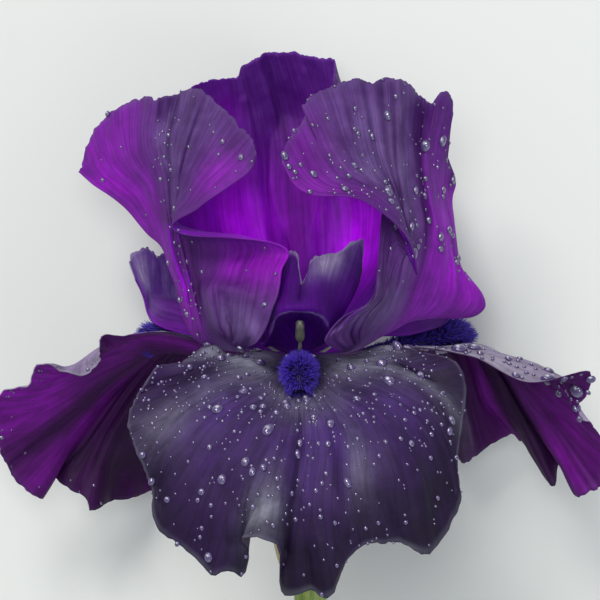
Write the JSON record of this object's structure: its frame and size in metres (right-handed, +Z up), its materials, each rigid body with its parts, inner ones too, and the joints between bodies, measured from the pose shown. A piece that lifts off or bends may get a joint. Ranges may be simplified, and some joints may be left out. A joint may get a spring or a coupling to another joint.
{
  "type": "cut bearded iris flower",
  "caption": "Cut bearded iris bloom with ruffled dark violet petals, furry beards and a short stem, lying on its back; for arranging or decoration.",
  "frame": {"origin": "on the surface the bloom lies on, under the middle of its bounding box", "axes": "+Y from the cut end of the stem to the tips of the standards, +Z up from the surface, through the front fall's face"},
  "size_m": [0.1542, 0.2304, 0.1113],
  "materials": {
    "petal_violet": "dark violet velvety petal with a grey-lavender sheen",
    "style_lilac": "lilac and violet petal-like style arm",
    "beard_blue": "dense blue-violet hairs",
    "anther_grey_green": "pale grey-green anther and filament",
    "stem_green": "smooth yellow-green stem",
    "spathe_tan": "dry papery spathe"
  },
  "bodies": {
    "root": {"fall_front": "petal_violet", "fall_left": "petal_violet", "fall_right": "petal_violet", "standard_left": "petal_violet", "standard_right": "petal_violet", "standard_back": "petal_violet", "style_front": "style_lilac", "style_left": "style_lilac", "style_right": "style_lilac", "stamen_front": "anther_grey_green", "stamen_left": "anther_grey_green", "stamen_right": "anther_grey_green", "beard_front": "beard_blue", "beard_left": "beard_blue", "beard_right": "beard_blue", "tube_and_ovary": "stem_green", "stem": "stem_green", "spathe_left": "spathe_tan", "spathe_right": "spathe_tan"}
  },
  "joints": []
}
